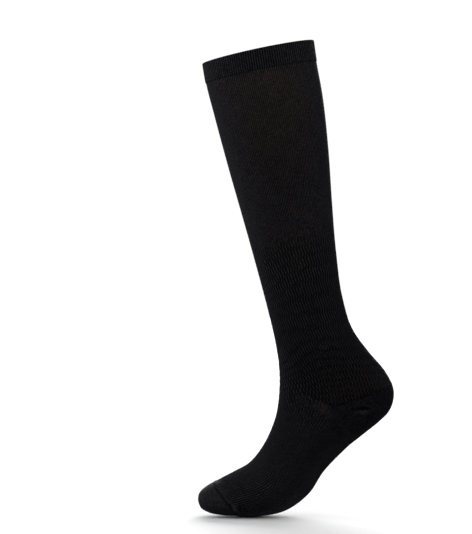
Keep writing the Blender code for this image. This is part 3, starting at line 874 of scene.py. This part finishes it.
def sew(name, tree, points, runs, outs, sizes, thread):
    """Lays stitches of a length, width and rise in mm on points, and makes them one plain mesh."""
    mesh = bpy.data.meshes.new(name)
    mesh.from_pydata((points * MM).tolist(), [], [])
    for label, values in (("run", runs), ("out", outs)):
        attribute = mesh.attributes.new(label, "FLOAT_VECTOR", "POINT")
        attribute.data.foreach_set("vector", values.reshape(-1))
    made = bpy.data.objects.new(name, mesh)
    bpy.context.scene.collection.objects.link(made)
    modifier = made.modifiers.new("stitches", "NODES")
    modifier.node_group = tree
    inputs = [item for item in tree.interface.items_tree if item.in_out == "INPUT"]
    sockets = {item.name: item.identifier for item in inputs}
    for label, size in zip(("Length", "Width", "Rise"), sizes):
        modifier[sockets[label]] = size * MM
    modifier[sockets["Thread"]] = thread
    bpy.context.view_layer.update()
    laid = bpy.data.meshes.new_from_object(made.evaluated_get(bpy.context.evaluated_depsgraph_get()))
    made.modifiers.remove(modifier)
    made.data = laid
    bpy.data.meshes.remove(mesh)
    laid.name = name
    return made


# A stitch's length, width and rise, and how far it lies out of the seam and leans from its run, in mm.
HEM_STITCH, HEM_OUT, HEM_LEAN = (1.7, 0.55, 0.45), 0.25, 0.25
LINKING_STITCH, LINKING_OUT, LINKING_LEAN = (2.0, 0.9, 0.6), -0.1, 0.3
HEM_BELOW_SEAM = 0.1


def seam_stitches(name, stitches, tube, down, out, count, lean, sizes, thread, seam=None):
    """A row of stitches round the tube, each leaning a little from the way round.

    down is how far down the tube the row runs, and out how far it lies from the cloth. seam is
    the toe's seam, which the row then runs along.
    """
    needle = ((np.arange(count) + 0.5) * (NEEDLES / count))[None]
    down = beside_seam(needle, np.full((1, count), down), seam)
    point, normal, _ = lay(tube, needle, down, 0.0, np.full((1, count), out))
    run = lay(tube, needle + 0.2, down + lean)[0] - lay(tube, needle - 0.2, down - lean)[0]
    return sew(name, stitches, point[0], run[0], normal[0], sizes, thread)


# ---------------------------------------------------------------- stage
CAMERA = Vector((-0.02497, -3.080, -0.2351))   # m, level with the calf and square to its side
LENS, SENSOR = 188.8, 36.0                     # mm
FLOOR_HALF = 12.0                              # m
FLOOR_BELOW = 0.3 * MM                         # under the lowest point, so that they don't meet


def aim(made, target):
    """Turns an object so that its -Z looks at the target."""
    made.rotation_euler = (Vector(target) - made.location).to_track_quat("-Z", "Y").to_euler()


def soft_sun(name, direction, spread, power, colour):
    """A softbox so large and far off that it lights the floor evenly; spread is in degrees."""
    light = bpy.data.lights.new(name, "SUN")
    light.angle, light.energy, light.color = math.radians(spread), power, to_linear(colour)[:3]
    made = bpy.data.objects.new(name, light)
    bpy.context.scene.collection.objects.link(made)
    made.location = direction
    aim(made, (0.0, 0.0, 0.0))


def make_stage(lowest):
    """The camera, the light of a white studio all round, and a floor just under the lowest point."""
    scene = bpy.context.scene
    scene.view_settings.view_transform = "Standard"
    camera = bpy.data.cameras.new("camera")
    camera.sensor_width, camera.lens = SENSOR, LENS
    camera.clip_end = 50.0
    viewer = bpy.data.objects.new("camera", camera)
    scene.collection.objects.link(viewer)
    viewer.location = CAMERA
    viewer.rotation_euler = (math.pi / 2, 0.0, 0.0)
    scene.camera = viewer

    world = bpy.data.worlds.new("white studio")
    world.use_nodes = True
    world.node_tree.nodes["Background"].inputs["Color"].default_value = (1.0, 1.0, 1.0, 1.0)
    world.node_tree.nodes["Background"].inputs["Strength"].default_value = 1.02
    scene.world = world
    soft_sun("key", (-1.0, 0.4, 0.15), 45, 4.8, "#F4F6FF")
    soft_sun("rim", (1.0, 0.6, 0.2), 40, 0.2, "#FFFFFF")
    soft_sun("front left", (-0.6, -1.0, 0.6), 50, 1.4, "#FFFFFF")
    soft_sun("front right", (0.6, -1.0, 0.6), 50, 1.4, "#FFFFFF")
    soft_sun("back", (0.1, 1.0, 0.4), 40, 7.5, "#FFFFFF")

    mesh = bpy.data.meshes.new("floor")
    corners = [(x * FLOOR_HALF, y * FLOOR_HALF, lowest - FLOOR_BELOW)
               for x, y in ((-1, -1), (1, -1), (1, 1), (-1, 1))]
    mesh.from_pydata(corners, [], [(0, 1, 2, 3)])
    # Backdrop paper: dull and even, a grey that the back light lifts to near white.
    paper = bpy.data.materials.new("matt pale grey paper sweep")
    paper.use_nodes = True
    shader = paper.node_tree.nodes["Principled BSDF"]
    shader.inputs["Base Color"].default_value = to_linear("#A2A2A2")
    shader.inputs["Roughness"].default_value = 0.95
    shader.inputs["Specular IOR Level"].default_value = 0.1
    mesh.materials.append(paper)
    floor = bpy.data.objects.new("floor", mesh)
    scene.collection.objects.link(floor)


# ---------------------------------------------------------------- the stocking
def main():
    """Dresses the solids: one cloth for each, the two rows of stitches, then the stage."""
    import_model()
    cad_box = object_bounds()
    leg = Tube(LEG_RINGS)
    heel = Tube([LEG_RINGS[-1][:4] + turn + LEG_RINGS[-1][6:] for turn in HEEL_TURNS])
    foot = Tube(FOOT_RINGS)

    # Nylon over elastane: filament yarn, matt in the knit, with a faint bluish bloom at a slant.
    welt_knit = knit_material("nylon elastane welt knit, double", "#020202", "#171619",
                              stitch=0.3, fuzziness=0.5)
    leg_knit = knit_material("nylon elastane rib knit", "#030303", "#1D1C1F", warm="#1D1611",
                             stitch=0.3, fuzziness=0.3)
    foot_knit = knit_material("nylon elastane rib knit, foot", "#020203", "#1D1C1F", warm="#322D26",
                              fuzziness=0.5)
    # Spliced heel: a second end of nylon makes it dense, dark and a little fuzzier.
    heel_knit = knit_material("spliced nylon plain knit", "#010102", "#0C0B0D", stitch=0.4, fuzziness=0.98)
    # Plain nylon jersey on the toe: flat and even, and faintly lighter in its grooves.
    toe_knit = knit_material("nylon jersey, toe cap", "#08080A", "#141416", stitch=0.2)
    thread = thread_material("black polyester seam thread", "#040405")

    welt = make_welt(leg, welt_knit)
    shank = make_leg(leg, leg_knit)
    pocket = make_heel(heel, heel_knit)
    sole = make_foot(foot, leg.marks[-1], foot_knit)
    cap = make_toe(foot, toe_knit)
    tree = stitch_tree("seam stitches")
    hem_line, toe_seam = leg.marks[WELT_SEAM] + HEM_BELOW_SEAM, foot.marks[TOE_SEAM]
    hem = seam_stitches("welt_hem_stitches", tree, leg, hem_line, HEM_OUT, NEEDLES, HEM_LEAN,
                        HEM_STITCH, thread)
    linking = seam_stitches("toe_linking_stitches", tree, foot, toe_seam, LINKING_OUT, NEEDLES // 2,
                            LINKING_LEAN, LINKING_STITCH, thread, toe_seam)

    for piece, node, slot, flat in (
            (welt, "welt", "welt_knit", (0.32, 0.024)), (shank, "leg", "leg_knit", (0.26, 0.34)),
            (pocket, "heel", "heel_knit", (0.115, 0.045)), (sole, "foot", "foot_knit", (0.22, 0.15)),
            (cap, "toe", "toe_knit", (0.17, 0.033))):
        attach(piece, "root")
        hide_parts(node)
    for piece, slot in ((hem, "welt_knit"), (linking, "toe_knit")):
        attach(piece, "root")

    make_stage(cad_box[0].z)


main()
